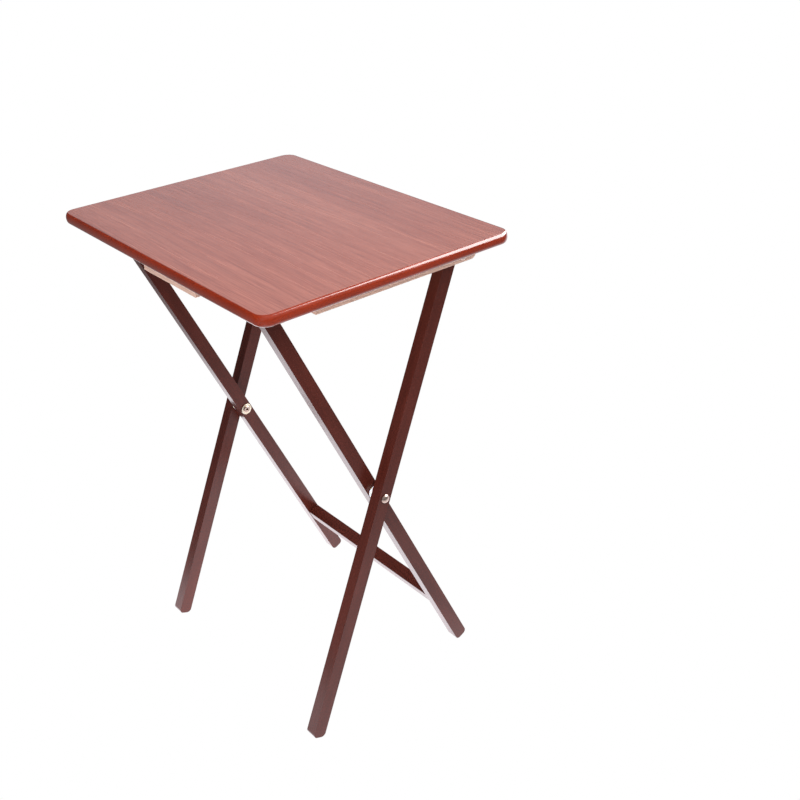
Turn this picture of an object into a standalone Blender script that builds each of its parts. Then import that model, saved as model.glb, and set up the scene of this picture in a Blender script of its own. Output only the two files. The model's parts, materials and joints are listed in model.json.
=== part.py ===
"""Folding tray table: a laminated tray top on two crossing wooden leg frames.

The outer leg frame is hinged to two battens under the top, near its +Y edge.
The inner leg frame crosses it on two scissor rivets, and its top rail carries
the other side of the top, against a catch block near the -Y edge.

Axes: X runs along the long side of the top, Y across it, Z is up.
The origin is on the floor, below the middle of the top. Units are metres.
"""

from math import cos, pi, radians, sin

import bmesh
import bpy

# ---------------------------------------------------------------- dimensions
GAP = 0.0003                 # clearance between two pieces that touch

TABLE_HEIGHT = 0.660
TOP_LENGTH = 0.500           # along X
TOP_DEPTH = 0.370            # along Y
TOP_THICKNESS = 0.0145
TOP_CORNER_RADIUS = 0.018
TOP_EDGE_RADIUS = 0.0042
LAMINATE_THICKNESS = 0.0008
BACKING_THICKNESS = 0.0006
SKIN_INSET = 0.0036          # the skins stop short of the rounded edge

LEG_WIDTH = 0.0188           # seen from the side
LEG_THICKNESS = 0.0174       # along X
LEG_ANGLE = radians(23.5)    # each leg from the vertical
LEG_EDGE_RADIUS = 0.0013
FOOT_RADIUS = 0.006
OUTER_LEG_X = 0.1828         # middle of an outer leg
INNER_LEG_X = 0.1593         # middle of an inner leg
SCISSOR_HEIGHT = 0.321
TOP_PIVOT_DROP = 0.0155      # from the underside of the top to its hinge
RAIL_CLEARANCE = 0.0008      # between the top rail and the underside

BATTEN_HEIGHT = 0.0242
BATTEN_THICKNESS = 0.0169
BATTEN_START = -0.090        # Y of the batten's far end
BATTEN_END = 0.157           # Y of the end beside the hinge
BATTEN_CORNER_RADIUS = 0.008
BATTEN_EDGE_RADIUS = 0.0008
BATTEN_SCREW_Y = (-0.055, 0.117)

CATCH_LENGTH = 0.129
CATCH_SCREW_X = 0.044

STRETCHER_DROP = 0.252       # from the scissor hinge, along the inner legs
STRETCHER_WIDTH = 0.0180
STRETCHER_HEIGHT = 0.0165
RAIL_DEPTH = 0.0095          # top rail below the centre of its round back
RAIL_CORNER_RADIUS = 0.002

DOWEL_RADIUS = 0.0029
DOWEL_HOLE_RADIUS = 0.0032
DOWEL_IN_LEG = 0.0115
DOWEL_IN_RAIL = 0.0180
DOWEL_OFFSET = 0.0045
DOWEL_END_GAP = 0.0006
DOWEL_CHAMFER = 0.0006
DOWEL_SIDES = 16

RIVET_RADIUS = 0.0030
RIVET_HOLE_RADIUS = 0.0033
RIVET_HEAD_RADIUS = 0.0063
RIVET_HEAD_HEIGHT = 0.0034
RIVET_TAIL_RADIUS = 0.0052
RIVET_TAIL_THICKNESS = 0.0014
RIVET_TAIL_ROLL = 0.0005     # rounding of the rolled tail
RIVET_BORE_RADIUS = 0.0021
RIVET_BORE_DEPTH = 0.0070
RIVET_BORE_POINT = 0.0012
SPACER_RADIUS = 0.0090
SPACER_CHAMFER = 0.0006
TAIL_WASHER_RADIUS = 0.0083
TAIL_WASHER_THICKNESS = 0.0011
TAIL_WASHER_CHAMFER = 0.0003
TOP_WASHER_THICKNESS = 0.0006
TOP_WASHER_CHAMFER = 0.0001

SCREW_HEAD_RADIUS = 0.0040
SCREW_HEAD_HEIGHT = 0.0024
SCREW_HEAD_RIM = 0.0003
SCREW_SHANK_RADIUS = 0.0020
SCREW_LENGTH = 0.0330
SCREW_TIP_LENGTH = 0.0060
SCREW_SLOT_LENGTH = 0.0046
SCREW_SLOT_WIDTH = 0.0009
SCREW_SLOT_DEPTH = 0.0013
SCREW_HOLE_RADIUS = 0.0023
SCREW_HOLE_DEPTH = 0.0095    # in the board
SCREW_HOLE_SIDES = 12

ARC_STEPS = 6                # straight pieces in a quarter circle
TURN_STEPS = 20              # sides of a turned piece
DOME_STEPS = 5               # bands of a rivet's domed head
OVERCUT = 0.004              # how far a cutter runs past the wood

# ------------------------------------------------------ places worked out
UNDERSIDE = TABLE_HEIGHT - TOP_THICKNESS
TOP_PIVOT_Z = UNDERSIDE - TOP_PIVOT_DROP
TOP_PIVOT_REACH = (TOP_PIVOT_Z - SCISSOR_HEIGHT) / cos(LEG_ANGLE)
TOP_PIVOT_Y = TOP_PIVOT_REACH * sin(LEG_ANGLE)

RAIL_Z = UNDERSIDE - RAIL_CLEARANCE - LEG_WIDTH / 2
RAIL_REACH = (RAIL_Z - SCISSOR_HEIGHT) / cos(LEG_ANGLE)
RAIL_Y = -RAIL_REACH * sin(LEG_ANGLE)

FOOT_CORNER_OFFSET = LEG_WIDTH / 2 - FOOT_RADIUS
FOOT_CORNER_DROP = SCISSOR_HEIGHT - FOOT_RADIUS - FOOT_CORNER_OFFSET * sin(LEG_ANGLE)
FOOT_REACH = FOOT_CORNER_DROP / cos(LEG_ANGLE) + FOOT_RADIUS

OUTER_FACE_X = OUTER_LEG_X + LEG_THICKNESS / 2
OUTER_INNER_FACE_X = OUTER_LEG_X - LEG_THICKNESS / 2
INNER_OUTER_FACE_X = INNER_LEG_X + LEG_THICKNESS / 2
INNER_FACE_X = INNER_LEG_X - LEG_THICKNESS / 2
RAIL_HALF_LENGTH = INNER_FACE_X - GAP
SPACER_THICKNESS = OUTER_INNER_FACE_X - INNER_OUTER_FACE_X - 2 * GAP

BATTEN_INNER_X = OUTER_FACE_X + TOP_WASHER_THICKNESS + 2 * GAP
BATTEN_X = BATTEN_INNER_X + BATTEN_THICKNESS / 2
BATTEN_OUTER_X = BATTEN_INNER_X + BATTEN_THICKNESS
BATTEN_TOP = UNDERSIDE - GAP
BATTEN_BOTTOM = BATTEN_TOP - BATTEN_HEIGHT

CATCH_BACK_Y = RAIL_Y - LEG_WIDTH / 2 - GAP
CATCH_Y = CATCH_BACK_Y - BATTEN_THICKNESS / 2

CORE_BOTTOM = UNDERSIDE + BACKING_THICKNESS + GAP
CORE_THICKNESS = TOP_THICKNESS - LAMINATE_THICKNESS - BACKING_THICKNESS - 2 * GAP

SIDES = (("left", -1), ("right", 1))
ALONG_X = {1: (0, radians(90), 0), -1: (0, radians(-90), 0)}
SIDE_VIEW = (radians(90), 0, radians(90))    # outline X to Y, outline Y to Z


# ---------------------------------------------------------------- materials
def material(name, colour, roughness, metallic=0.0):
    finish = bpy.data.materials.new(name)
    finish.use_nodes = True
    shader = finish.node_tree.nodes["Principled BSDF"]
    shader.inputs["Base Color"].default_value = (*colour, 1.0)
    shader.inputs["Roughness"].default_value = roughness
    shader.inputs["Metallic"].default_value = metallic
    return finish


def make_materials():
    return {
        "walnut_laminate": material("walnut_laminate", (0.30, 0.13, 0.08), 0.35),
        "edge_lacquer": material("edge_lacquer", (0.24, 0.045, 0.015), 0.25),
        "backing_sheet": material("backing_sheet", (0.38, 0.20, 0.11), 0.60),
        "espresso_lacquer": material("espresso_lacquer", (0.055, 0.018, 0.013), 0.30),
        "light_wood": material("light_wood", (0.60, 0.38, 0.22), 0.55),
        "dowel_wood": material("dowel_wood", (0.66, 0.50, 0.32), 0.65),
        "plated_steel": material("plated_steel", (0.80, 0.74, 0.66), 0.22, 1.0),
        "yellow_zinc": material("yellow_zinc", (0.83, 0.70, 0.42), 0.30, 1.0),
        "white_nylon": material("white_nylon", (0.85, 0.85, 0.83), 0.40),
    }


# ---------------------------------------------------------- scene and tools
def clear_scene():
    for thing in list(bpy.data.objects):
        bpy.data.objects.remove(thing, do_unlink=True)


def collection(name):
    group = bpy.data.collections.new(name)
    bpy.context.scene.collection.children.link(group)
    return group


def empty(name, parent=None, location=(0, 0, 0), tilt=0.0):
    """An axis that pieces hang on, tilted about X."""
    axis = bpy.data.objects.new(name, None)
    table.objects.link(axis)
    axis.parent = parent
    axis.location = location
    axis.rotation_euler = (tilt, 0, 0)
    return axis


def place(piece, parent, location=(0, 0, 0), rotation=(0, 0, 0)):
    piece.parent = parent
    piece.location = location
    piece.rotation_euler = rotation
    return piece


def finish_piece(name, mesh, finish):
    """Wrap a mesh as a named piece of the table."""
    mesh.name = name
    mesh.shade_smooth()
    mesh.set_sharp_from_angle(angle=radians(35))
    mesh.materials.clear()
    mesh.materials.append(finish)
    piece = bpy.data.objects.new(name, mesh)
    table.objects.link(piece)
    return piece


def round_edges(piece, width, segments=2):
    bevel = piece.modifiers.new("rounded_edges", "BEVEL")
    bevel.width = width
    bevel.segments = segments
    bevel.limit_method = "ANGLE"
    bevel.angle_limit = radians(40)


def rounded_rectangle(left, right, low, high, radii):
    """Outline points; radii run low-left, low-right, high-right, high-left; 0 is a sharp corner."""
    corners = ((left, low, 1, 1), (right, low, -1, 1), (right, high, -1, -1), (left, high, 1, -1))
    points = []
    for index, ((x, y, step_x, step_y), radius) in enumerate(zip(corners, radii)):
        start = pi + index * pi / 2
        if not radius:
            points.append((x, y))
            continue
        for step in range(ARC_STEPS + 1):
            angle = start + step * pi / 2 / ARC_STEPS
            points.append((x + step_x * radius + radius * cos(angle),
                           y + step_y * radius + radius * sin(angle)))
    return points


def plate(name, outline, thickness, finish):
    """A flat outline in its own XY plane, given a thickness along its own Z."""
    curve = bpy.data.curves.new(name, "CURVE")
    curve.dimensions = "2D"
    curve.fill_mode = "BOTH"
    curve.extrude = thickness / 2
    spline = curve.splines.new("POLY")
    spline.points.add(len(outline) - 1)
    for point, (x, y) in zip(spline.points, outline):
        point.co = (x, y, 0, 1)
    spline.use_cyclic_u = True
    drawing = bpy.data.objects.new(name, curve)
    table.objects.link(drawing)
    solid = drawing.evaluated_get(bpy.context.evaluated_depsgraph_get())
    mesh = bpy.data.meshes.new_from_object(solid)
    bpy.data.objects.remove(drawing, do_unlink=True)
    bpy.data.curves.remove(curve)

    work = bmesh.new()
    work.from_mesh(mesh)
    bmesh.ops.remove_doubles(work, verts=work.verts, dist=1e-6)
    bmesh.ops.dissolve_limit(work, angle_limit=radians(1), verts=work.verts, edges=work.edges)
    bmesh.ops.recalc_face_normals(work, faces=work.faces)
    work.to_mesh(mesh)
    work.free()
    return finish_piece(name, mesh, finish)


def turned(name, profile, finish):
    """A piece turned about its own Z from (radius, height) points, top to bottom."""
    mesh = bpy.data.meshes.new(name)
    points = [(radius, 0, height) for radius, height in profile]
    edges = [(index, index + 1) for index in range(len(profile) - 1)]
    mesh.from_pydata(points, edges, [])
    piece = finish_piece(name, mesh, finish)
    screw = piece.modifiers.new("turned", "SCREW")
    screw.angle = 2 * pi
    screw.steps = TURN_STEPS
    screw.render_steps = TURN_STEPS
    screw.use_merge_vertices = True
    screw.merge_threshold = 1e-6
    screw.use_smooth_shade = True
    return piece


def ring_profile(inner_radius, outer_radius, thickness, chamfer):
    half = thickness / 2
    return [(inner_radius, half), (outer_radius - chamfer, half), (outer_radius, half - chamfer),
            (outer_radius, chamfer - half), (outer_radius - chamfer, -half),
            (inner_radius, -half), (inner_radius, half)]


def cylinder(name, radius, length, finish=None, sides=TURN_STEPS):
    """A cylinder on its own Z, centred; with no finish it is a cutter."""
    work = bmesh.new()
    bmesh.ops.create_cone(work, cap_ends=True, segments=sides, radius1=radius,
                          radius2=radius, depth=length)
    mesh = bpy.data.meshes.new(name)
    work.to_mesh(mesh)
    work.free()
    return finish_piece(name, mesh, finish) if finish else cutter(name, mesh)


def box_mesh(name, size):
    work = bmesh.new()
    bmesh.ops.create_cube(work, size=1.0)
    bmesh.ops.scale(work, vec=size, verts=work.verts)
    mesh = bpy.data.meshes.new(name)
    work.to_mesh(mesh)
    work.free()
    return mesh


def cutter(name, mesh):
    tool = bpy.data.objects.new(name + "_cutter", mesh)
    cutters.objects.link(tool)
    tool.display_type = "WIRE"
    tool.hide_render = True
    return tool


def cut(piece, tool):
    hole = piece.modifiers.new(tool.name, "BOOLEAN")
    hole.operation = "DIFFERENCE"
    hole.solver = "EXACT"
    hole.object = tool


# ------------------------------------------------------------- leg frames
def leg(name, axis, x, top_reach):
    """A leg on a frame's axis: a round top end and a square foot with soft corners."""
    half = LEG_WIDTH / 2
    outline = rounded_rectangle(-half, half, -FOOT_REACH, top_reach + half,
                                (FOOT_RADIUS, FOOT_RADIUS, half, half))
    piece = plate(name, outline, LEG_THICKNESS, finishes["espresso_lacquer"])
    round_edges(piece, LEG_EDGE_RADIUS)
    place(piece, axis, (x, 0, 0), SIDE_VIEW)
    return piece


def pivot_hole(piece, axis, x, reach, thickness):
    """A hole through a wooden piece for a rivet, at a distance up its axis."""
    tool = cylinder(piece.name + "_pivot", RIVET_HOLE_RADIUS, thickness + 2 * OVERCUT)
    place(tool, axis, (x, 0, reach), ALONG_X[1])
    cut(piece, tool)


def cross_piece(name, axis, outline, reach):
    """A rail between the inner legs, drawn as a side view around its own centre."""
    piece = plate(name, outline, 2 * RAIL_HALF_LENGTH, finishes["espresso_lacquer"])
    round_edges(piece, LEG_EDGE_RADIUS)
    place(piece, axis, (0, 0, reach), SIDE_VIEW)
    return piece


def dowel_joint(rail, rail_name, legs, axis, reach):
    """Two dowels at each end of a rail, in holes in the rail and in both legs."""
    length = DOWEL_IN_LEG + DOWEL_IN_RAIL - 2 * DOWEL_END_GAP
    middle = INNER_FACE_X + (DOWEL_IN_LEG - DOWEL_IN_RAIL) / 2
    for side, sign in SIDES:
        for label, offset in (("front", -DOWEL_OFFSET), ("rear", DOWEL_OFFSET)):
            name = f"{rail_name}_dowel_{side}_{label}"
            where = (sign * middle, offset, reach)
            dowel = cylinder(name, DOWEL_RADIUS, length, finishes["dowel_wood"], DOWEL_SIDES)
            round_edges(dowel, DOWEL_CHAMFER, 1)
            place(dowel, axis, where, ALONG_X[sign])
            tool = cylinder(name, DOWEL_HOLE_RADIUS, DOWEL_IN_LEG + DOWEL_IN_RAIL,
                            sides=DOWEL_SIDES)
            place(tool, axis, where, ALONG_X[sign])
            cut(rail, tool)
            cut(legs[side], tool)


def rivet(name, axis, sign, head_seat, tail_seat):
    """A tubular rivet along X: a dome outside and a rolled tail inside."""
    head_low = head_seat + GAP
    tail_high = tail_seat - GAP
    tail_low = tail_high - RIVET_TAIL_THICKNESS
    roll = RIVET_TAIL_ROLL
    turns = [step * pi / 2 / DOME_STEPS for step in range(DOME_STEPS + 1)]
    dome = [(RIVET_HEAD_RADIUS * sin(turn), head_low + RIVET_HEAD_HEIGHT * cos(turn))
            for turn in turns]
    profile = dome + [
        (RIVET_RADIUS, head_low),
        (RIVET_RADIUS, tail_high),
        (RIVET_TAIL_RADIUS - roll, tail_high),
        (RIVET_TAIL_RADIUS, tail_high - roll),
        (RIVET_TAIL_RADIUS - roll, tail_low + roll / 2),
        (RIVET_TAIL_RADIUS - 3 * roll, tail_low),
        (RIVET_BORE_RADIUS + roll, tail_low + roll / 2),
        (RIVET_BORE_RADIUS, tail_low + 2 * roll),
        (RIVET_BORE_RADIUS, tail_low + RIVET_BORE_DEPTH),
        (0, tail_low + RIVET_BORE_DEPTH + RIVET_BORE_POINT),
    ]
    piece = turned(name, profile, finishes["plated_steel"])
    return place(piece, axis, (0, 0, 0), ALONG_X[sign])


def washer(name, axis, x, outer_radius, thickness, chamfer, finish):
    piece = turned(name, ring_profile(RIVET_HOLE_RADIUS, outer_radius, thickness, chamfer),
                   finishes[finish])
    return place(piece, axis, (x, 0, 0), ALONG_X[1])


def outer_frame():
    """Two legs hinged to the battens, and the rivets of the scissor hinge."""
    axis = empty("outer_frame_axis", location=(0, 0, SCISSOR_HEIGHT), tilt=-LEG_ANGLE)
    for side, sign in SIDES:
        x = sign * OUTER_LEG_X
        piece = leg(f"outer_leg_{side}", axis, x, TOP_PIVOT_REACH)
        pivot_hole(piece, axis, x, 0, LEG_THICKNESS)
        pivot_hole(piece, axis, x, TOP_PIVOT_REACH, LEG_THICKNESS)

        tail_seat = INNER_FACE_X - GAP - TAIL_WASHER_THICKNESS
        rivet(f"scissor_rivet_{side}", axis, sign, OUTER_FACE_X, tail_seat)
        gap_middle = (OUTER_INNER_FACE_X + INNER_OUTER_FACE_X) / 2
        washer(f"scissor_spacer_{side}", axis, sign * gap_middle, SPACER_RADIUS,
               SPACER_THICKNESS, SPACER_CHAMFER, "white_nylon")
        washer_x = INNER_FACE_X - GAP - TAIL_WASHER_THICKNESS / 2
        washer(f"scissor_tail_washer_{side}", axis, sign * washer_x, TAIL_WASHER_RADIUS,
               TAIL_WASHER_THICKNESS, TAIL_WASHER_CHAMFER, "yellow_zinc")


def inner_frame():
    """Two legs joined by the top rail and the lower stretcher."""
    axis = empty("inner_frame_axis", location=(0, 0, SCISSOR_HEIGHT), tilt=LEG_ANGLE)
    legs = {}
    for side, sign in SIDES:
        x = sign * INNER_LEG_X
        legs[side] = leg(f"inner_leg_{side}", axis, x, RAIL_REACH)
        pivot_hole(legs[side], axis, x, 0, LEG_THICKNESS)

    half = LEG_WIDTH / 2
    rail_outline = rounded_rectangle(-half, half, -RAIL_DEPTH, half,
                                     (RAIL_CORNER_RADIUS, RAIL_CORNER_RADIUS, half, half))
    rail = cross_piece("top_rail", axis, rail_outline, RAIL_REACH)
    dowel_joint(rail, "rail", legs, axis, RAIL_REACH)

    half = STRETCHER_WIDTH / 2
    stretcher_outline = rounded_rectangle(-half, half, -STRETCHER_HEIGHT / 2,
                                          STRETCHER_HEIGHT / 2, (0, 0, 0, 0))
    stretcher = cross_piece("lower_stretcher", axis, stretcher_outline, -STRETCHER_DROP)
    dowel_joint(stretcher, "stretcher", legs, axis, -STRETCHER_DROP)


# -------------------------------------------------------------- top hinge
def top_hinge():
    """The rivets and washers that hinge the battens to the outer legs."""
    axis = empty("top_hinge_axis", location=(0, TOP_PIVOT_Y, TOP_PIVOT_Z))
    for side, sign in SIDES:
        tail_seat = OUTER_INNER_FACE_X - GAP - TOP_WASHER_THICKNESS
        rivet(f"top_rivet_{side}", axis, sign, BATTEN_OUTER_X, tail_seat)
        gap_middle = (OUTER_FACE_X + BATTEN_INNER_X) / 2
        washer(f"top_washer_{side}", axis, sign * gap_middle, TAIL_WASHER_RADIUS,
               TOP_WASHER_THICKNESS, TOP_WASHER_CHAMFER, "plated_steel")
        washer_x = OUTER_INNER_FACE_X - GAP - TOP_WASHER_THICKNESS / 2
        washer(f"top_tail_washer_{side}", axis, sign * washer_x, TAIL_WASHER_RADIUS,
               TOP_WASHER_THICKNESS, TOP_WASHER_CHAMFER, "yellow_zinc")


# --------------------------------------------------------------- tray top
def board_outline(inset):
    half_x = TOP_LENGTH / 2 - inset
    half_y = TOP_DEPTH / 2 - inset
    return rounded_rectangle(-half_x, half_x, -half_y, half_y, (TOP_CORNER_RADIUS - inset,) * 4)


def screw_hole(piece, name, axis, x, y, low, high):
    """A hole for a wood screw's shank, from height low to high."""
    tool = cylinder(name, SCREW_HOLE_RADIUS, high - low, sides=SCREW_HOLE_SIDES)
    place(tool, axis, (x, y, (low + high) / 2))
    cut(piece, tool)


def countersink(piece, name, axis, x, y, face_z):
    """A cone that takes a screw's head, level with the wood's lower face."""
    depth = SCREW_HEAD_HEIGHT + 2 * GAP
    rim = SCREW_HEAD_RADIUS + 3 * GAP
    work = bmesh.new()
    bmesh.ops.create_cone(work, cap_ends=True, segments=TURN_STEPS, depth=2 * depth,
                          radius1=2 * rim - SCREW_SHANK_RADIUS, radius2=SCREW_SHANK_RADIUS)
    mesh = bpy.data.meshes.new(name)
    work.to_mesh(mesh)
    work.free()
    sink = cutter(name, mesh)
    place(sink, axis, (x, y, face_z))
    cut(piece, sink)


def wood_screw(name, axis, x, y, head_z):
    """A countersunk screw driven upwards, its head level with the wood."""
    profile = [
        (0, 0),
        (SCREW_HEAD_RADIUS, 0),
        (SCREW_HEAD_RADIUS, -SCREW_HEAD_RIM),
        (SCREW_SHANK_RADIUS, -SCREW_HEAD_HEIGHT),
        (SCREW_SHANK_RADIUS, SCREW_TIP_LENGTH - SCREW_LENGTH),
        (0, -SCREW_LENGTH),
    ]
    piece = turned(name, profile, finishes["plated_steel"])
    place(piece, axis, (x, y, head_z), (pi, 0, 0))
    size = (SCREW_SLOT_LENGTH, SCREW_SLOT_WIDTH, 2 * SCREW_SLOT_DEPTH)
    for turn in (radians(45), radians(135)):
        slot = cutter(name + "_slot", box_mesh(name + "_slot", size))
        place(slot, axis, (x, y, head_z), (0, 0, turn))
        cut(piece, slot)


def tray_top():
    """The board with its two skins, the battens, the catch block and their screws."""
    axis = empty("tray_axis", location=(0, TOP_PIVOT_Y, TOP_PIVOT_Z))
    base_y = -TOP_PIVOT_Y
    base_z = -TOP_PIVOT_Z

    board = plate("tabletop_board", board_outline(0.0), CORE_THICKNESS, finishes["edge_lacquer"])
    round_edges(board, TOP_EDGE_RADIUS, 3)
    place(board, axis, (0, base_y, base_z + CORE_BOTTOM + CORE_THICKNESS / 2))

    laminate = plate("top_laminate", board_outline(SKIN_INSET), LAMINATE_THICKNESS,
                     finishes["walnut_laminate"])
    place(laminate, axis, (0, base_y, base_z + TABLE_HEIGHT - LAMINATE_THICKNESS / 2))

    backing = plate("backing_sheet", board_outline(SKIN_INSET), BACKING_THICKNESS,
                    finishes["backing_sheet"])
    place(backing, axis, (0, base_y, base_z + UNDERSIDE + BACKING_THICKNESS / 2))

    def fix_with_screw(block, name, x, y):
        face_z = base_z + BATTEN_BOTTOM
        hole_top = base_z + CORE_BOTTOM + SCREW_HOLE_DEPTH
        for piece in (block, backing, board):
            screw_hole(piece, f"{name}_{piece.name}", axis, x, y, face_z - OVERCUT, hole_top)
        countersink(block, name + "_sink", axis, x, y, face_z)
        wood_screw(name, axis, x, y, face_z)

    batten_outline = rounded_rectangle(
        BATTEN_START - TOP_PIVOT_Y, BATTEN_END - TOP_PIVOT_Y,
        BATTEN_BOTTOM - TOP_PIVOT_Z, BATTEN_TOP - TOP_PIVOT_Z,
        (0, BATTEN_CORNER_RADIUS, 0, 0))
    for side, sign in SIDES:
        x = sign * BATTEN_X
        batten = plate(f"batten_{side}", batten_outline, BATTEN_THICKNESS, finishes["light_wood"])
        round_edges(batten, BATTEN_EDGE_RADIUS, 1)
        place(batten, axis, (x, 0, 0), SIDE_VIEW)
        pivot_hole(batten, axis, x, 0, BATTEN_THICKNESS)
        for label, y in zip(("front", "rear"), BATTEN_SCREW_Y):
            fix_with_screw(batten, f"batten_screw_{side}_{label}", x, base_y + y)

    catch_outline = rounded_rectangle(
        CATCH_Y - BATTEN_THICKNESS / 2 - TOP_PIVOT_Y, CATCH_Y + BATTEN_THICKNESS / 2 - TOP_PIVOT_Y,
        BATTEN_BOTTOM - TOP_PIVOT_Z, BATTEN_TOP - TOP_PIVOT_Z, (0, 0, 0, 0))
    catch = plate("catch_block", catch_outline, CATCH_LENGTH, finishes["light_wood"])
    round_edges(catch, BATTEN_EDGE_RADIUS, 1)
    place(catch, axis, (0, 0, 0), SIDE_VIEW)
    for side, sign in SIDES:
        fix_with_screw(catch, f"catch_screw_{side}", sign * CATCH_SCREW_X, base_y + CATCH_Y)


clear_scene()
table = collection("folding_tray_table")
cutters = collection("cutters")
finishes = make_materials()
outer_frame()
inner_frame()
top_hinge()
tray_top()
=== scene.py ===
"""Looks of the folding tray table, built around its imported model.

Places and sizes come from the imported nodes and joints. Fine edges, finishes,
fasteners in full detail and the studio are made here. Units are metres: X runs
along the long side of the top, Y across it, Z is up.
"""

import json
from math import cos, pi, radians, sin

import bmesh
import bpy
from mathutils import Matrix, Vector


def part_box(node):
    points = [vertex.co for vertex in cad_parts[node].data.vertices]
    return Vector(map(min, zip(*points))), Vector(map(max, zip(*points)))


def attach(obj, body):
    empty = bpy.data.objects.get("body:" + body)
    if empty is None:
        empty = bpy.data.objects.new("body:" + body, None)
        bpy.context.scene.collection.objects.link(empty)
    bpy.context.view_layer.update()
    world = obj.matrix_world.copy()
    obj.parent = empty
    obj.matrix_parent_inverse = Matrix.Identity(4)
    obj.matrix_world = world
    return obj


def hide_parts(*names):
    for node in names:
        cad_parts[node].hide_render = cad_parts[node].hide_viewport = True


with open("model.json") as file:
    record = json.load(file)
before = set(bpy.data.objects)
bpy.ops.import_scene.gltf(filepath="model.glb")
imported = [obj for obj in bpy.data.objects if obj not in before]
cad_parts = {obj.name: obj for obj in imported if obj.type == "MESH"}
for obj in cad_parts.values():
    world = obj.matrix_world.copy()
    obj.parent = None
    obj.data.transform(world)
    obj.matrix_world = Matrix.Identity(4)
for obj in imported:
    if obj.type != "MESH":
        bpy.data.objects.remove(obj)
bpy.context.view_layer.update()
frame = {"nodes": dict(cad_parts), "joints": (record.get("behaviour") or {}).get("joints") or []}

# ------------------------------------------------------- places in the frame
JOINTS = {joint["name"]: joint for joint in frame["joints"]}
SCISSOR = Vector(JOINTS["scissor_hinge"]["pos_m"])
TRAY_PIVOT = Vector(JOINTS["tray_lift_hinge"]["pos_m"])
LEG_TILT = radians(JOINTS["scissor_hinge"]["range_deg"][1]) / 2
GAP = 0.0003                     # clearance between touching pieces
WELD_DISTANCE = 1e-6
SIDES = (("left", -1), ("right", 1))

# ------------------------------------------------------------ fine geometry
ARC_STEPS = 16                   # straight pieces in a quarter circle
TURN_STEPS = 72                  # sides of a turned piece
FLAT_ANGLE = radians(1)          # faces that differ by less are one flat
BEVEL_ANGLE = radians(40)        # edges sharper than this are softened
SHARP_ANGLE = radians(50)        # edges sharper than this stay sharp in the shading
SCREW_SHARP_ANGLE = radians(30)
LEG_EDGE_RADIUS = 0.0014
FOOT_RADIUS = 0.006
RAIL_CORNER_RADIUS = 0.002
BATTEN_END_RADIUS = 0.008
BATTEN_EDGE_RADIUS = 0.0007
BOARD_CORNER_RADIUS = 0.018
SKIN_EDGE_RADIUS = 0.0002
EDGE_STEPS = 14                  # straight pieces in the board's rounded edge
SKIN_SEAM = 0.00015              # between the board's rim and its skins
PIVOT_HOLE_RADIUS = 0.0033
RIVET_RADIUS = 0.0030
RIVET_BORE_RADIUS = 0.0021
RIVET_BORE_DEPTH = 0.0070
RIVET_TAIL_RADIUS = 0.0052
WASHER_EDGE_RADIUS = 0.0003
THIN_WASHER_EDGE_RADIUS = 0.00015
SPACER_EDGE_RADIUS = 0.0006
SCREW_SHANK_RADIUS = 0.0020
SCREW_RECESS_DEPTH = 0.0015
SCREW_RECESS_TAPER = 0.55        # width at the recess's floor, against its mouth
SCREW_RECESS_LENGTH = 1.25       # of one arm from tip to tip, against the head's radius
SCREW_RECESS_WIDTH = 0.26        # of one arm, against the head's radius
SCREW_RIM = 0.04                 # the head's soft rim, against its radius
SCREW_TURNS = (20, 65, 40, 5)    # degrees, as the screwdriver left them

# ------------------------------------------------------------------- studio
CAMERA_PLACE = Vector((1.2536, -0.7549, 1.1716))
CAMERA_HEADING = radians(48.77)  # from +Y towards -X
CAMERA_PITCH = radians(24.74)    # downwards
CAMERA_ROLL = radians(-1.91)
CAMERA_LENS = 52.61
CAMERA_SHIFT = (-0.1, -0.1)
FLOOR_SIZE = 40.0
PLAIN_WHITE = (1, 1, 1, 1)       # what the camera sees of the floor and the room
FLOOR_COLOUR = (0.12, 0.12, 0.12, 1)
FLOOR_LIGHT = (0.97, 0.95, 1.0, 1)
FLOOR_GLOW = 1.02
FLOOR_DARK_GLOW = 0.08
FLOOR_FALL_START = 0.25          # reach along a dark side where the floor's light starts to fall
FLOOR_FALL_END = 0.55
DARK_SIDE = (-0.37, -0.93, 0)    # towards the front left
DARK_RIGHT = (0.68, 0, 0)        # towards the right; under 1 long, so the light falls off later
POOL_CENTRE = (-0.25, 0.04, 0)   # the floor below the table, brighter than white
POOL_START = 0.32
POOL_END = 0.58
POOL_GLOW = 1.2
WORLD_COLOUR = (1.0, 0.98, 0.97, 1)
WALL_COLOUR = (0.78, 0.86, 1.0, 1)
WORLD_GLOW = 0.36
WORLD_DARK_GLOW = 0.08
DARK_WAY = (-0.72, -0.69, 0.05)
DARK_WAY_START = 0.15
DARK_WAY_END = 0.75
WALL_WAY = (-0.82, 0.51, 0.26)   # the lit wall that the top mirrors
WALL_START = 0.93
WALL_END = 1.0
WALL_GLOW = 0.75
WINDOW_WAY = (0.25, 0.86, 0.45)  # each light's way is seen from the top's middle
WINDOW_DISTANCE = 2.6
WINDOW_SIZE = (4.0, 2.0)
WINDOW_REFLECTION_POWER = 310    # watts, for what shows along the rims
WINDOW_LIGHT_POWER = 90          # watts, for what lights the table
KEY_WAY = (0.60, -0.20, 0.775)
KEY_DISTANCE = 1.9
KEY_SIZE = (2.2, 2.2)
KEY_POWER = 70
FILL_WAY = (0.40, -0.91, -0.04)
FILL_DISTANCE = 1.8
FILL_SIZE = (1.3, 1.1)
FILL_POWER = 20


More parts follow.
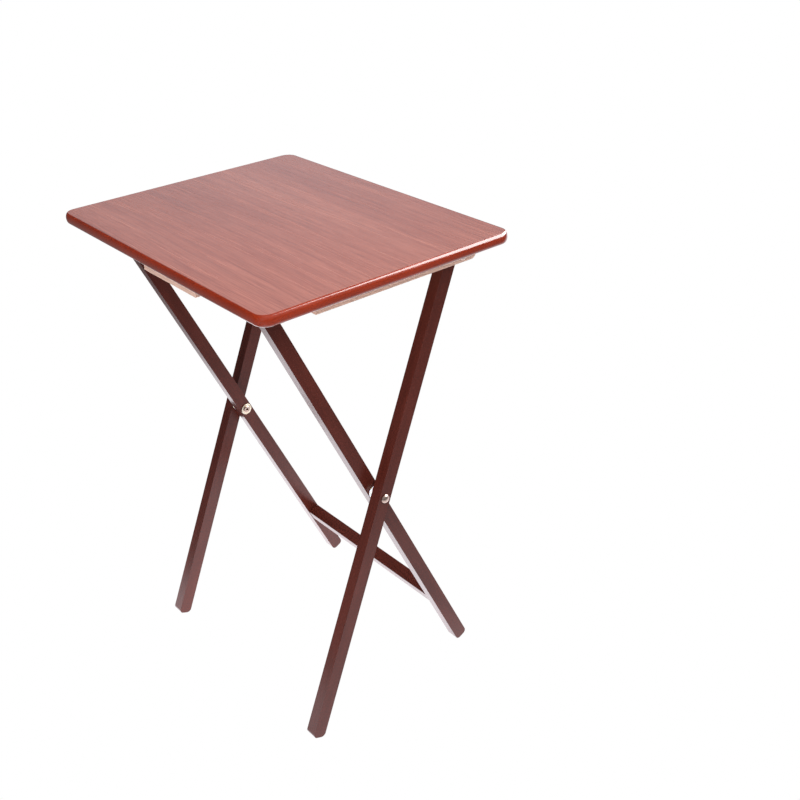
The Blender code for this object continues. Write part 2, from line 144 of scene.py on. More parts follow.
# ------------------------------------------------------------- mesh helpers
def extent(node, origin=Vector(), tilt=0.0):
    """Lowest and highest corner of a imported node, in a frame at origin turned by tilt about X."""
    turn = Matrix.Rotation(-tilt, 3, "X")
    points = [turn @ (vertex.co - origin) for vertex in frame["nodes"][node].data.vertices]
    low = Vector(min(point[axis] for point in points) for axis in range(3))
    high = Vector(max(point[axis] for point in points) for axis in range(3))
    return low, high


def rounded_outline(low_u, high_u, low_v, high_v, radii):
    """Outline points; radii run low-left, low-right, high-right, high-left; 0 is a sharp corner."""
    corners = ((low_u, low_v, 1, 1), (high_u, low_v, -1, 1),
               (high_u, high_v, -1, -1), (low_u, high_v, 1, -1))
    points = []
    for index, ((u, v, step_u, step_v), radius) in enumerate(zip(corners, radii)):
        if not radius:
            points.append((u, v))
            continue
        for step in range(ARC_STEPS + 1):
            angle = pi + (index + step / ARC_STEPS) * pi / 2
            points.append((u + step_u * radius + radius * cos(angle),
                           v + step_v * radius + radius * sin(angle)))
    return points


def circle(u, v, radius):
    """Outline points of a round hole."""
    turns = [2 * pi * step / TURN_STEPS for step in range(TURN_STEPS)]
    return [(u + radius * cos(turn), v + radius * sin(turn)) for turn in turns]


def new_piece(name, mesh, finish, body, nodes, place=Matrix.Identity(4)):
    """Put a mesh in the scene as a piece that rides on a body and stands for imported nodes."""
    mesh.materials.clear()
    mesh.materials.append(finish)
    piece = bpy.data.objects.new(name, mesh)
    bpy.context.scene.collection.objects.link(piece)
    piece.matrix_world = place
    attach(piece, body)
    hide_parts(*nodes)
    return piece


def soften(piece, width, segments=4):
    """Round a piece's sharp edges, and keep its flats flat in the shading."""
    bevel = piece.modifiers.new("soft_edges", "BEVEL")
    bevel.width = width
    bevel.segments = segments
    bevel.limit_method = "ANGLE"
    bevel.angle_limit = BEVEL_ANGLE
    bevel.harden_normals = True


def slab_mesh(name, outlines, thickness):
    """A flat drawing with holes, in its own XY plane, given a thickness along its own Z."""
    curve = bpy.data.curves.new(name, "CURVE")
    curve.dimensions = "2D"
    curve.fill_mode = "BOTH"
    curve.extrude = thickness / 2
    for outline in outlines:
        spline = curve.splines.new("POLY")
        spline.points.add(len(outline) - 1)
        for point, (u, v) in zip(spline.points, outline):
            point.co = (u, v, 0, 1)
        spline.use_cyclic_u = True
    drawing = bpy.data.objects.new(name, curve)
    bpy.context.scene.collection.objects.link(drawing)
    solid = drawing.evaluated_get(bpy.context.evaluated_depsgraph_get())
    mesh = bpy.data.meshes.new_from_object(solid)
    bpy.data.objects.remove(drawing, do_unlink=True)
    bpy.data.curves.remove(curve)

    work = bmesh.new()
    work.from_mesh(mesh)
    bmesh.ops.remove_doubles(work, verts=work.verts, dist=WELD_DISTANCE)
    bmesh.ops.dissolve_limit(work, angle_limit=FLAT_ANGLE, verts=work.verts, edges=work.edges)
    bmesh.ops.recalc_face_normals(work, faces=work.faces)
    work.to_mesh(mesh)
    work.free()
    mesh.name = name
    mesh.shade_smooth()
    return mesh


def side_slab(name, outlines, low_x, high_x):
    """A slab drawn in the Y-Z plane, between two places along X."""
    mesh = slab_mesh(name, outlines, high_x - low_x)
    to_side = Matrix(((0, 0, 1, (low_x + high_x) / 2), (1, 0, 0, 0), (0, 1, 0, 0), (0, 0, 0, 1)))
    mesh.transform(to_side)
    return mesh


def turned_mesh(name, profile):
    """A closed solid turned about X from (radius, x) points; the ends lie on the axis or meet."""
    closed = profile[0] == profile[-1]
    work = bmesh.new()
    rings = []
    for radius, x in profile[:-1] if closed else profile:
        count = TURN_STEPS if radius else 1
        turns = [2 * pi * step / TURN_STEPS for step in range(count)]
        rings.append([work.verts.new((x, radius * cos(t), radius * sin(t))) for t in turns])
    following = rings[1:] + rings[:1] if closed else rings[1:]
    for ring, other in zip(rings, following):
        for step in range(TURN_STEPS):
            after = (step + 1) % TURN_STEPS
            corners = (ring[step % len(ring)], ring[after % len(ring)],
                       other[after % len(other)], other[step % len(other)])
            work.faces.new(dict.fromkeys(corners))
    bmesh.ops.recalc_face_normals(work, faces=work.faces)
    mesh = bpy.data.meshes.new(name)
    work.to_mesh(mesh)
    work.free()
    mesh.shade_smooth()
    mesh.set_sharp_from_angle(angle=SHARP_ANGLE)
    return mesh


def arc_points(centre_radius, centre_x, size, start, end, steps):
    """Profile points on an arc; angle 0 points outwards from the axis, 90 along +X."""
    angles = [radians(start + (end - start) * step / steps) for step in range(steps + 1)]
    return [(centre_radius + size * cos(a), centre_x + size * sin(a)) for a in angles]


# ------------------------------------------------------------ node helpers
class Nodes:
    """A node tree, and short calls that add nodes to it."""

    def __init__(self, tree):
        self.tree = tree

    def add(self, kind, inputs=None, **settings):
        node = self.tree.nodes.new("ShaderNode" + kind)
        for setting, value in settings.items():
            setattr(node, setting, value)
        for socket, value in (inputs or {}).items():
            if isinstance(value, bpy.types.NodeSocket):
                self.tree.links.new(value, node.inputs[socket])
            else:
                node.inputs[socket].default_value = value
        return node

    def spread(self, factor, low, high, to_low, to_high, shape="LINEAR"):
        """A factor stretched from one range to another."""
        values = {"Value": factor, "From Min": low, "From Max": high,
                  "To Min": to_low, "To Max": to_high}
        return self.add("MapRange", values, interpolation_type=shape).outputs["Result"]

    def fall(self, *ranges):
        """A smooth change from one strength to another along a factor."""
        return self.spread(*ranges, shape="SMOOTHSTEP")

    def math(self, operation, *terms):
        return self.add("Math", dict(enumerate(terms)), operation=operation).outputs[0]

    def toward(self, vector, way):
        """How far a vector reaches along one way."""
        return self.add("VectorMath", {0: vector, 1: way}, operation="DOT_PRODUCT").outputs["Value"]


class Finish(Nodes):
    """A material with a Principled BSDF, and short calls that set it up."""

    def __init__(self, name, **values):
        self.material = bpy.data.materials.new(name)
        self.material.use_nodes = True
        super().__init__(self.material.node_tree)
        self.shader = self.tree.nodes["Principled BSDF"]
        for socket, value in values.items():
            self.shader.inputs[socket.replace("_", " ")].default_value = value

    def place(self, scale, shift=(0, 0, 0)):
        """The piece's own coordinates, scaled and shifted."""
        own = self.add("TexCoord").outputs["Object"]
        placed = self.add("Mapping", {"Vector": own, "Scale": scale, "Location": shift})
        return placed.outputs["Vector"]

    def noise(self, vector, scale=1.0, detail=3.0, roughness=0.5, distortion=0.0):
        values = {"Vector": vector, "Scale": scale, "Detail": detail,
                  "Roughness": roughness, "Distortion": distortion}
        return self.add("TexNoise", values).outputs["Fac"]

    def ramp(self, factor, *stops):
        """Colours or greys along a factor, from (place, value) stops."""
        node = self.add("ValToRGB", {"Fac": factor})
        elements = node.color_ramp.elements
        while len(elements) < len(stops):
            elements.new(0.5)
        for element, (place, value) in zip(elements, stops):
            element.position = place
            colour = value if isinstance(value, tuple) else (value,) * 3
            element.color = (*colour, 1.0)
        return node.outputs["Color"]

    def blend(self, mode, factor, base, over):
        node = self.add("Mix", data_type="RGBA", blend_type=mode)
        for socket, value in ((0, factor), (6, base), (7, over)):
            if isinstance(value, bpy.types.NodeSocket):
                self.tree.links.new(value, node.inputs[socket])
            else:
                node.inputs[socket].default_value = value if socket == 0 else (*value, 1.0)
        return node.outputs[2]

    def sum(self, *terms):
        total = terms[0]
        for term in terms[1:]:
            total = self.math("ADD", total, term)
        return total

    def set(self, socket, value):
        self.tree.links.new(value, self.shader.inputs[socket])

    def bump(self, height, distance, strength=1.0):
        node = self.add("Bump", {"Height": height, "Distance": distance, "Strength": strength})
        self.set("Normal", node.outputs["Normal"])


def along(axis, lengthwise, across):
    """A scale that stretches a texture along one axis."""
    return tuple(lengthwise if index == axis else across for index in range(3))


# ---------------------------------------------------------------- materials
def walnut_laminate():
    """Printed walnut under a satin film: wandering bands, fine lines and short dark pores."""
    finish = Finish("walnut_laminate")
    wander = finish.noise(finish.place((1.3, 2.6, 1.0)), detail=1.0)
    own = finish.place((1.0, 1.0, 1.0))
    bend = finish.add("CombineXYZ", {"Y": finish.spread(wander, 0.2, 0.8, -0.016, 0.016)})
    bent = finish.add("VectorMath", {0: own, 1: bend.outputs[0]}, operation="ADD").outputs[0]

    def bands(scale, detail, roughness=0.55):
        scaled = finish.add("Mapping", {"Vector": bent, "Scale": scale})
        return finish.noise(scaled.outputs[0], detail=detail, roughness=roughness)

    broad = bands((1.1, 22.0, 1.0), 4.0)
    lines = bands((4.0, 200.0, 1.0), 6.0, 0.7)
    fibres = bands((16.0, 700.0, 1.0), 3.0, 0.6)
    pores = bands((45.0, 1200.0, 1.0), 3.0)
    tone = finish.ramp(broad, (0.26, (0.216, 0.050, 0.031)), (0.45, (0.246, 0.064, 0.040)),
                       (0.60, (0.270, 0.075, 0.048)), (0.78, (0.298, 0.091, 0.060)))
    lined = finish.blend("MULTIPLY", 1.0, tone, finish.ramp(lines, (0.32, (0.76, 0.65, 0.60)),
                                                            (0.66, (1.11, 1.21, 1.25))))
    fibred = finish.blend("MULTIPLY", 1.0, lined, finish.ramp(fibres, (0.32, (0.80, 0.70, 0.68)),
                                                               (0.65, (1.14, 1.22, 1.25))))
    dark_pores = finish.ramp(pores, (0.56, 0.0), (0.68, 1.0))
    strength = finish.math("MULTIPLY", dark_pores, 0.22)
    finish.set("Base Color", finish.blend("MIX", strength, fibred, (0.075, 0.022, 0.012)))
    finish.set("Roughness", finish.spread(lines, 0.3, 0.7, 0.21, 0.29))
    finish.bump(finish.sum(fibres, finish.spread(dark_pores, 0, 1, 0, -1.2)), 0.00006, 0.5)
    return finish.material


def edge_lacquer():
    """Red-brown lacquer on the board's edge, a little uneven and glossy."""
    finish = Finish("edge_lacquer", Coat_Weight=0.5, Coat_Roughness=0.05)
    clouds = finish.noise(finish.place((14.0, 14.0, 60.0)), detail=4.0)
    grain = finish.noise(finish.place((220.0, 220.0, 900.0)), detail=3.0)
    tone = finish.ramp(clouds, (0.30, (0.170, 0.0150, 0.0032)), (0.55, (0.205, 0.0190, 0.0042)),
                       (0.75, (0.240, 0.0240, 0.0058)))
    finish.set("Base Color", finish.blend("MULTIPLY", 0.5, tone,
                                          finish.ramp(grain, (0.35, 0.75), (0.65, 1.1))))
    finish.set("Roughness", finish.spread(clouds, 0.3, 0.7, 0.14, 0.22))
    finish.bump(finish.noise(finish.place((45.0, 45.0, 120.0)), detail=2.0), 0.00012, 0.25)
    return finish.material


def backing_sheet():
    """Plain tan paper foil under the board, matt, with faint fibres."""
    finish = Finish("backing_sheet", Roughness=0.62)
    clouds = finish.noise(finish.place((9.0, 22.0, 1.0)), detail=4.0)
    fibres = finish.noise(finish.place((60.0, 700.0, 1.0)), detail=3.0)
    tone = finish.ramp(clouds, (0.30, (0.270, 0.125, 0.062)), (0.70, (0.345, 0.170, 0.090)))
    finish.set("Base Color", finish.blend("MULTIPLY", 0.6, tone,
                                          finish.ramp(fibres, (0.35, 0.80), (0.65, 1.08))))
    finish.bump(fibres, 0.00008, 0.4)
    return finish.material


def stained_wood(name, grain_axis, shift):
    """Dark espresso stain under satin lacquer, with the wood's grain just showing through."""
    finish = Finish(name, IOR=1.42, Specular_IOR_Level=0.40)
    grain = finish.noise(finish.place(along(grain_axis, 14.0, 170.0), shift), detail=5.0,
                         roughness=0.65, distortion=0.3)
    specks = finish.noise(finish.place((900.0, 900.0, 900.0), shift), detail=3.0, roughness=0.7)
    pores = finish.noise(finish.place(along(grain_axis, 90.0, 1300.0), shift), detail=2.0)
    clouds = finish.noise(finish.place(along(grain_axis, 9.0, 24.0), shift), detail=3.0)
    tone = finish.ramp(clouds, (0.30, (0.060, 0.0115, 0.0075)), (0.70, (0.076, 0.0155, 0.0105)))
    grained = finish.blend("MULTIPLY", 1.0, tone, finish.ramp(grain, (0.32, 0.86), (0.66, 1.12)))
    specked = finish.blend("MULTIPLY", 1.0, grained, finish.ramp(specks, (0.35, 0.82), (0.65, 1.18)))
    dark_pores = finish.ramp(pores, (0.62, 0.0), (0.72, 1.0))
    strength = finish.math("MULTIPLY", dark_pores, 0.3)
    finish.set("Base Color", finish.blend("MIX", strength, specked, (0.020, 0.006, 0.004)))
    finish.set("Roughness", finish.spread(specks, 0.3, 0.7, 0.19, 0.29))
    height = finish.sum(grain, finish.spread(dark_pores, 0, 1, 0, -0.8))
    finish.bump(height, 0.00010, 0.3)
    return finish.material


def pale_wood(name, grain_axis, shift):
    """Planed pale hardwood, thinly sealed: soft growth bands, pores and fine fibres."""
    finish = Finish(name, Roughness=0.42, Coat_Weight=0.2, Coat_Roughness=0.25)
    bands = finish.noise(finish.place(along(grain_axis, 4.0, 120.0), shift), detail=3.0,
                         distortion=0.4)
    fibres = finish.noise(finish.place(along(grain_axis, 30.0, 900.0), shift), detail=3.0)
    tone = finish.ramp(bands, (0.30, (0.740, 0.465, 0.350)), (0.52, (0.840, 0.560, 0.455)),
                       (0.75, (0.900, 0.630, 0.530)))
    finish.set("Base Color", finish.blend("MULTIPLY", 0.7, tone,
                                          finish.ramp(fibres, (0.34, 0.72), (0.62, 1.05))))
    finish.set("Roughness", finish.spread(fibres, 0.3, 0.7, 0.52, 0.38))
    finish.bump(fibres, 0.00012, 0.5)
    return finish.material


def metal(name, colour, worn_colour, roughness):
    """Plated metal with faint handling marks and a slightly uneven plating."""
    finish = Finish(name, Metallic=1.0)
    clouds = finish.noise(finish.place((350.0, 350.0, 350.0)), detail=4.0)
    marks = finish.noise(finish.place((900.0, 2600.0, 2600.0)), detail=2.0)
    finish.set("Base Color", finish.ramp(clouds, (0.35, worn_colour), (0.60, colour)))
    finish.set("Roughness", finish.spread(marks, 0.3, 0.7, roughness * 0.75, roughness * 1.35))
    finish.bump(marks, 0.00001, 0.3)
    return finish.material


def white_nylon():
    """Moulded nylon, slightly waxy."""
    finish = Finish("white_nylon", Roughness=0.38, Subsurface_Weight=0.15)
    finish.shader.inputs["Subsurface Scale"].default_value = 0.001
    clouds = finish.noise(finish.place((260.0, 260.0, 260.0)), detail=3.0)
    finish.set("Base Color", finish.ramp(clouds, (0.3, (0.80, 0.79, 0.76)), (0.7, (0.88, 0.87, 0.85))))
    finish.bump(clouds, 0.00002, 0.4)
    return finish.material


# -------------------------------------------------------------- tray's top
def board_mesh(name, low, high, skin_inset):
    """The board with its half-round rim, rebated for the two skins."""
    seam = skin_inset - SKIN_SEAM
    rebate = 2 * SKIN_EDGE_RADIUS + 2 * GAP
    middle, half = (low.z + high.z) / 2, (high.z - low.z) / 2
    turns = [pi / 2 - pi * step / (2 * EDGE_STEPS) for step in range(2 * EDGE_STEPS + 1)]
    rim = [(seam * (1 - cos(turn)), middle + half * sin(turn)) for turn in turns]
    work = bmesh.new()
    rings = []
    for inset, z in [(seam, high.z - rebate), *rim, (seam, low.z + rebate)]:
        outline = rounded_outline(low.x + inset, high.x - inset, low.y + inset, high.y - inset,
                                  (BOARD_CORNER_RADIUS - inset,) * 4)
        rings.append([work.verts.new((x, y, z)) for x, y in outline])
    for ring, other in zip(rings, rings[1:]):
        for index, corner in enumerate(ring):
            after = (index + 1) % len(ring)
            work.faces.new((corner, ring[after], other[after], other[index]))
    work.faces.new(rings[0])
    work.faces.new(rings[-1])
    bmesh.ops.recalc_face_normals(work, faces=work.faces)
    mesh = bpy.data.meshes.new(name)
    work.to_mesh(mesh)
    work.free()
    mesh.shade_smooth()
    mesh.set_sharp_from_angle(angle=SHARP_ANGLE)
    return mesh


def tray_board():
    """The board between its laminate and its backing sheet."""
    low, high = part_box("tabletop_board")
    skin_low, skin_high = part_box("top_laminate")
    low.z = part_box("backing_sheet")[0].z
    high.z = skin_high.z
    skin_inset = skin_low.x - low.x
    new_piece("board_core", board_mesh("board_core", low, high, skin_inset), edge_lacquer(),
              "tray_top", ["tabletop_board"])
    for node, slot, finish in (("top_laminate", "walnut_laminate", walnut_laminate()),
                               ("backing_sheet", "backing_sheet", backing_sheet())):
        low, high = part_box(node)
        outline = rounded_outline(low.x, high.x, low.y, high.y,
                                  (BOARD_CORNER_RADIUS - skin_inset,) * 4)
        mesh = slab_mesh(node + "_skin", [outline], high.z - low.z)
        mesh.transform(Matrix.Translation((0, 0, (low.z + high.z) / 2)))
        skin = new_piece(node + "_skin", mesh, finish, "tray_top", [node])
        soften(skin, SKIN_EDGE_RADIUS, 2)


def sink_screws(block, screws):
    """Countersinks in a block's lower face, one for each screw, cut for good."""
    for screw in screws:
        low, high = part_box(screw)
        middle = (low + high) / 2
        rim = (high.x - low.x) / 2 + 2 * GAP
        work = bmesh.new()
        bmesh.ops.create_cone(work, cap_ends=True, segments=TURN_STEPS, depth=2 * rim,
                              radius1=2 * rim, radius2=GAP)
        bmesh.ops.create_cone(work, cap_ends=True, segments=TURN_STEPS, depth=high.z - low.z,
                              radius1=SCREW_SHANK_RADIUS + GAP, radius2=SCREW_SHANK_RADIUS + GAP,
                              matrix=Matrix.Translation((0, 0, (high.z - low.z) / 2)))
        sink = bpy.data.objects.new("sink", bpy.data.meshes.new("sink"))
        work.to_mesh(sink.data)
        work.free()
        bpy.context.scene.collection.objects.link(sink)
        sink.location = (middle.x, middle.y, low.z)
        carve(block, sink)


def carve(piece, tool):
    """Cut a tool out of a piece and apply the cut, with the modifiers before it."""
    cut = piece.modifiers.new("cut", "BOOLEAN")
    cut.operation = "DIFFERENCE"
    cut.solver = "EXACT"
    cut.use_self = True
    cut.object = tool
    bpy.context.view_layer.update()
    solid = piece.evaluated_get(bpy.context.evaluated_depsgraph_get())
    mesh = bpy.data.meshes.new_from_object(solid)
    piece.modifiers.clear()
    piece.data = mesh
    bpy.data.objects.remove(tool, do_unlink=True)


def tray_blocks():
    """The two battens with the top's hinge, and the catch block."""
    for side, sign in SIDES:
        node = f"batten_{side}"
        low, high = extent(node, TRAY_PIVOT)
        outline = rounded_outline(low.y, high.y, low.z, high.z, (0, BATTEN_END_RADIUS, 0, 0))
        mesh = side_slab(node, [outline, circle(0, 0, PIVOT_HOLE_RADIUS)], low.x, high.x)
        finish = pale_wood(f"pale_wood_{side}", 1, (0.7 * sign, 0.3, 1.9))
        piece = new_piece(f"hinge_batten_{side}", mesh, finish, "tray_top", [node],
                          Matrix.Translation(TRAY_PIVOT))
        soften(piece, BATTEN_EDGE_RADIUS, 3)
        sink_screws(piece, [f"batten_screw_{side}_{end}" for end in ("front", "rear")])

    low, high = extent("catch_block", TRAY_PIVOT)
    outline = rounded_outline(low.y, high.y, low.z, high.z, (0, 0, 0, 0))
    mesh = side_slab("catch_block", [outline], low.x, high.x)
    finish = pale_wood("pale_wood_catch", 0, (2.1, 0.9, 0.4))
    piece = new_piece("rail_catch", mesh, finish, "tray_top", ["catch_block"],
                      Matrix.Translation(TRAY_PIVOT))
    soften(piece, BATTEN_EDGE_RADIUS, 3)
    sink_screws(piece, [f"catch_screw_{side}" for side, _ in SIDES])


# --------------------------------------------------------------- leg frames
def leg(node, body, tilt, holes, shift):
    """A leg on its frame's own axis: round top end, soft-cornered foot, holes for its rivets."""
    low, high = extent(node, SCISSOR, tilt)
    half = (high.y - low.y) / 2
    outline = rounded_outline(low.y, high.y, low.z, high.z,
                              (FOOT_RADIUS, FOOT_RADIUS, half, half))
    outlines = [outline, *(circle(0, reach, PIVOT_HOLE_RADIUS) for reach in holes)]
    mesh = side_slab(node, outlines, low.x, high.x)
    place = Matrix.Translation(SCISSOR) @ Matrix.Rotation(tilt, 4, "X")
    piece = new_piece("wood_" + node, mesh, stained_wood("stain_" + node, 2, shift), body,
                      [node], place)
    soften(piece, LEG_EDGE_RADIUS)


def rail(node, radii, shift):
    """A rail between the inner legs, on the inner frame's own axis."""
    low, high = extent(node, SCISSOR, LEG_TILT)
    outline = rounded_outline(low.y, high.y, low.z, high.z, radii)
    mesh = side_slab(node, [outline], low.x, high.x)
    place = Matrix.Translation(SCISSOR) @ Matrix.Rotation(LEG_TILT, 4, "X")
    piece = new_piece("wood_" + node, mesh, stained_wood("stain_" + node, 0, shift),
                      "inner_frame", [node], place)
    soften(piece, LEG_EDGE_RADIUS)


def leg_frames():
    """The four legs, the top rail and the lower stretcher."""
    pivot_reach = (TRAY_PIVOT - SCISSOR).length
    for side, sign in SIDES:
        leg(f"outer_leg_{side}", "outer_frame", -LEG_TILT, (0, pivot_reach), (sign, 0.2, 0.8))
        leg(f"inner_leg_{side}", "inner_frame", LEG_TILT, (0,), (0.5 * sign, 1.3, 2.4))
    low, high = extent("top_rail", SCISSOR, LEG_TILT)
    half = (high.y - low.y) / 2
    rail("top_rail", (RAIL_CORNER_RADIUS, RAIL_CORNER_RADIUS, half, half), (3.1, 0.6, 0.2))
    rail("lower_stretcher", (0, 0, 0, 0), (1.7, 2.2, 0.9))


# ---------------------------------------------------------------- fasteners
def outward(node, sign):
    """How far out from the middle a node's inner and outer ends are, along X."""
    low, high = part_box(node)
    return (low.x, high.x) if sign > 0 else (-high.x, -low.x)


def on_side(pivot, sign):
    """A place on a pivot whose own X points outwards, to the right or to the left."""
    turn = Matrix.Rotation(0 if sign > 0 else pi, 4, "Z")
    return Matrix.Translation((0, pivot.y, pivot.z)) @ turn


def rivet(node, body, pivot, sign, finish, head_seat, tail_seat):
    """A domed tubular rivet: dome, shank, and a tail rolled over into a round lip."""
    tail_end, tip = outward(node, sign)
    low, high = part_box(node)
    head_radius = (high.z - low.z) / 2
    turns = [step * pi / 2 / EDGE_STEPS for step in range(EDGE_STEPS + 1)]
    dome = [(head_radius * sin(turn), head_seat + (tip - head_seat) * cos(turn))
            for turn in turns]
    lip = (tail_seat - tail_end) / 2
    roll = arc_points(RIVET_TAIL_RADIUS - lip, tail_end + lip, lip, 90, -90, EDGE_STEPS)
    mouth = arc_points(RIVET_BORE_RADIUS + lip, tail_end + lip, lip, 270, 180, EDGE_STEPS)
    floor = tail_end + RIVET_BORE_DEPTH
    profile = [(0, dome[0][1]), *dome[1:], (RIVET_RADIUS, head_seat), (RIVET_RADIUS, tail_seat),
               *roll, *mouth, (RIVET_BORE_RADIUS, floor), (0, floor + RIVET_BORE_RADIUS / 2)]
    new_piece("domed_" + node, turned_mesh(node, profile), finish, body, [node],
              on_side(pivot, sign))


def ring(node, body, pivot, sign, finish, slot, softness):
    """A washer or a spacer with rounded rims."""
    inner_end, outer_end = outward(node, sign)
    low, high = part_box(node)
    radius = (high.z - low.z) / 2
    profile = [
        (PIVOT_HOLE_RADIUS, outer_end),
        *arc_points(radius - softness, outer_end - softness, softness, 90, 0, 4),
        *arc_points(radius - softness, inner_end + softness, softness, 0, -90, 4),
        (PIVOT_HOLE_RADIUS, inner_end),
        (PIVOT_HOLE_RADIUS, outer_end),
    ]
    new_piece("round_" + node, turned_mesh(node, profile), finish, body, [node],
              on_side(pivot, sign))


def hinge_fasteners(steel, zinc, nylon):
    """The rivets, washers and spacers of the scissor hinge and of the top's hinge."""
    for side, sign in SIDES:
        outer_leg = outward(f"outer_leg_{side}", sign)
        scissor_washer = outward(f"scissor_tail_washer_{side}", sign)
        rivet(f"scissor_rivet_{side}", "outer_frame", SCISSOR, sign, steel,
              outer_leg[1] + GAP, scissor_washer[0] - GAP)
        ring(f"scissor_tail_washer_{side}", "outer_frame", SCISSOR, sign, zinc,
             "yellow_zinc", WASHER_EDGE_RADIUS)
        ring(f"scissor_spacer_{side}", "outer_frame", SCISSOR, sign, nylon,
             "white_nylon", SPACER_EDGE_RADIUS)
        top_washer = outward(f"top_tail_washer_{side}", sign)
        rivet(f"top_rivet_{side}", "top_rivets", TRAY_PIVOT, sign, steel,
              outward(f"batten_{side}", sign)[1] + GAP, top_washer[0] - GAP)
        ring(f"top_tail_washer_{side}", "top_rivets", TRAY_PIVOT, sign, zinc,
             "yellow_zinc", THIN_WASHER_EDGE_RADIUS)
        ring(f"top_washer_{side}", "top_rivets", TRAY_PIVOT, sign, steel,
             "plated_steel", THIN_WASHER_EDGE_RADIUS)


def tapered_bar(length, width, depth):
    """A bar that narrows to its lower end, for one arm of a cross recess."""
    work = bmesh.new()
    bmesh.ops.create_cube(work, size=1.0)
    for vertex in work.verts:
        share = 1.0 if vertex.co.x > 0 else SCREW_RECESS_TAPER
        vertex.co = (vertex.co.x * depth * 2, vertex.co.y * length * share,
                     vertex.co.z * width * share)
    bar = bpy.data.objects.new("bar", bpy.data.meshes.new("bar"))
    work.to_mesh(bar.data)
    work.free()
    bpy.context.scene.collection.objects.link(bar)
    return bar


def wood_screws(steel):
    """Countersunk cross-head screws, level with the lower faces of the wooden blocks."""
    nodes = [f"batten_screw_{side}_{end}" for side, _ in SIDES for end in ("front", "rear")]
    nodes += [f"catch_screw_{side}" for side, _ in SIDES]
    low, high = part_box(nodes[0])
    radius = (high.x - low.x) / 2
    length = high.z - low.z
    rim = radius * SCREW_RIM
    profile = [(0, 0), (radius - rim, 0), (radius, -rim), (radius, -2 * rim),
               (SCREW_SHANK_RADIUS, SCREW_SHANK_RADIUS - radius - 2 * rim),
               (SCREW_SHANK_RADIUS, 3 * SCREW_SHANK_RADIUS - length), (0, -length)]
    pattern = bpy.data.objects.new("screw_pattern", turned_mesh("wood_screw", profile))
    bpy.context.scene.collection.objects.link(pattern)
    for turn in (0, radians(90)):
        bar = tapered_bar(radius * SCREW_RECESS_LENGTH, radius * SCREW_RECESS_WIDTH,
                          SCREW_RECESS_DEPTH)
        bar.rotation_euler = (turn, 0, 0)
        carve(pattern, bar)
    mesh = pattern.data
    bpy.data.objects.remove(pattern, do_unlink=True)
    mesh.set_sharp_from_angle(angle=SCREW_SHARP_ANGLE)
    for index, node in enumerate(nodes):
        low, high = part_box(node)
        middle = (low + high) / 2
        place = (Matrix.Translation((middle.x, middle.y, low.z))
                 @ Matrix.Rotation(radians(90), 4, "Y")
                 @ Matrix.Rotation(radians(SCREW_TURNS[index % len(SCREW_TURNS)]), 4, "X"))
        new_piece("cross_" + node, mesh, steel, "tray_top", [node], place)


def finish_hidden_dowels(finish):
    """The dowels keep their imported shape, inside the wood, with a bare beech finish."""
    for name, node in frame["nodes"].items():
        if "_dowel_" in name:
            node.data.materials.clear()
            node.data.materials.append(finish)


# ------------------------------------------------------------------- studio
def studio_floor():
    """A wide floor, seen plain white from above and open from below.

    What it sends up to the table is brightest underneath, and falls off towards
    the front left and the right, where the studio is dark.
    """
    mesh = bpy.data.meshes.new("studio_floor")
    work = bmesh.new()
    bmesh.ops.create_grid(work, x_segments=2, y_segments=2, size=FLOOR_SIZE)
    work.to_mesh(mesh)
    work.free()
    floor = bpy.data.objects.new("studio_floor", mesh)
    bpy.context.scene.collection.objects.link(floor)
    material = bpy.data.materials.new("studio_white")
    material.use_nodes = True
    nodes = Nodes(material.node_tree)
    nodes.tree.nodes.remove(nodes.tree.nodes["Principled BSDF"])
    place = nodes.add("NewGeometry").outputs["Position"]
    away = nodes.math("MAXIMUM", nodes.toward(place, DARK_SIDE), nodes.toward(place, DARK_RIGHT))
    glow = nodes.fall(away, FLOOR_FALL_START, FLOOR_FALL_END, FLOOR_GLOW, FLOOR_DARK_GLOW)
    reach = nodes.add("VectorMath", {0: place, 1: POOL_CENTRE}, operation="DISTANCE")
    pool = nodes.fall(reach.outputs["Value"], POOL_START, POOL_END, POOL_GLOW, 0)
    light = nodes.add("Emission", {"Color": FLOOR_LIGHT,
                                   "Strength": nodes.math("ADD", glow, pool)}).outputs[0]
    matt = nodes.add("BsdfDiffuse", {"Color": FLOOR_COLOUR}).outputs[0]
    lit = nodes.add("AddShader", {0: light, 1: matt}).outputs[0]
    plain = nodes.add("Emission", {"Color": PLAIN_WHITE}).outputs[0]
    direct = nodes.add("LightPath").outputs["Is Camera Ray"]
    top = nodes.add("MixShader", {0: direct, 1: lit, 2: plain}).outputs[0]
    open_side = nodes.add("BsdfTransparent").outputs[0]
    below = nodes.add("NewGeometry").outputs["Backfacing"]
    sides = nodes.add("MixShader", {0: below, 1: top, 2: open_side}).outputs[0]
    nodes.tree.links.new(sides, nodes.tree.nodes["Material Output"].inputs["Surface"])
    mesh.materials.append(material)


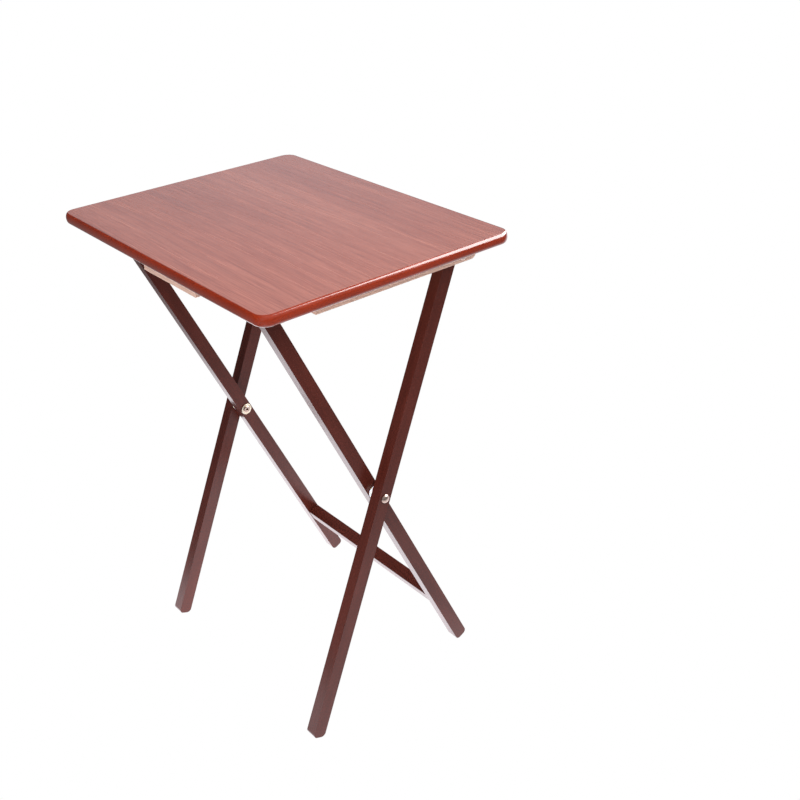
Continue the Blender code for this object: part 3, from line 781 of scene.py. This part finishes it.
def studio_world():
    """White surroundings, dark towards the front left where the studio's room is open."""
    world = bpy.data.worlds.new("studio")
    bpy.context.scene.world = world
    world.use_nodes = True
    nodes = Nodes(world.node_tree)
    nodes.tree.nodes.clear()
    way = nodes.add("TexCoord").outputs["Generated"]
    dim = nodes.fall(nodes.toward(way, DARK_WAY), DARK_WAY_START, DARK_WAY_END, WORLD_GLOW,
                     WORLD_DARK_GLOW)
    wall = nodes.fall(nodes.toward(way, WALL_WAY), WALL_START, WALL_END, 0, WALL_GLOW)
    room = nodes.add("Background", {"Strength": dim, "Color": WORLD_COLOUR}).outputs[0]
    cool = nodes.add("Background", {"Strength": wall, "Color": WALL_COLOUR}).outputs[0]
    light = nodes.add("AddShader", {0: room, 1: cool}).outputs[0]
    plain = nodes.add("Background", {"Color": PLAIN_WHITE}).outputs[0]
    seen = nodes.add("LightPath").outputs["Is Camera Ray"]
    both = nodes.add("MixShader", {0: seen, 1: light, 2: plain}).outputs[0]
    nodes.add("OutputWorld", {"Surface": both})


def softbox(name, way, distance, size, power):
    """A soft area light that looks at the table from one way."""
    light = bpy.data.lights.new(name, "AREA")
    light.shape = "RECTANGLE"
    light.size, light.size_y = size
    light.energy = power
    box = bpy.data.objects.new(name, light)
    bpy.context.scene.collection.objects.link(box)
    target = Vector((0, 0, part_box("top_laminate")[1].z))
    box.location = target + Vector(way).normalized() * distance
    box.rotation_euler = (target - box.location).to_track_quat("-Z", "Y").to_euler()
    return box


def studio_lights():
    """A window behind the table, whose reflection is set apart from its light, a key and a fill."""
    window = softbox("window", WINDOW_WAY, WINDOW_DISTANCE, WINDOW_SIZE, WINDOW_REFLECTION_POWER)
    window.visible_diffuse = False
    for name, way, distance, size, power in (
            ("key", KEY_WAY, KEY_DISTANCE, KEY_SIZE, KEY_POWER),
            ("back", WINDOW_WAY, WINDOW_DISTANCE, WINDOW_SIZE, WINDOW_LIGHT_POWER),
            ("fill", FILL_WAY, FILL_DISTANCE, FILL_SIZE, FILL_POWER)):
        box = softbox(name, way, distance, size, power)
        box.visible_glossy = False


def camera():
    """The photograph's viewpoint: high at the near right corner, a little off centre."""
    data = bpy.data.cameras.new("camera")
    data.sensor_width = 36.0
    data.lens = CAMERA_LENS
    data.shift_x = CAMERA_SHIFT[0]
    data.shift_y = CAMERA_SHIFT[1]
    view = bpy.data.objects.new("camera", data)
    bpy.context.scene.collection.objects.link(view)
    view.matrix_world = (Matrix.Translation(CAMERA_PLACE)
                         @ Matrix.Rotation(CAMERA_HEADING, 4, "Z")
                         @ Matrix.Rotation(radians(90) - CAMERA_PITCH, 4, "X")
                         @ Matrix.Rotation(CAMERA_ROLL, 4, "Z"))
    bpy.context.scene.camera = view


# ------------------------------------------------------------- the whole scene
camera()
studio_world()
studio_floor()
studio_lights()
tray_board()
tray_blocks()
leg_frames()
steel = metal("plated_steel", (0.66, 0.52, 0.46), (0.52, 0.38, 0.32), 0.24)
zinc = metal("yellow_zinc", (0.84, 0.77, 0.64), (0.74, 0.64, 0.48), 0.34)
hinge_fasteners(steel, zinc, white_nylon())
wood_screws(steel)
finish_hidden_dowels(pale_wood("dowel_wood", 0, (4.2, 0.1, 1.1)))
bpy.context.scene.view_settings.view_transform = "Standard"
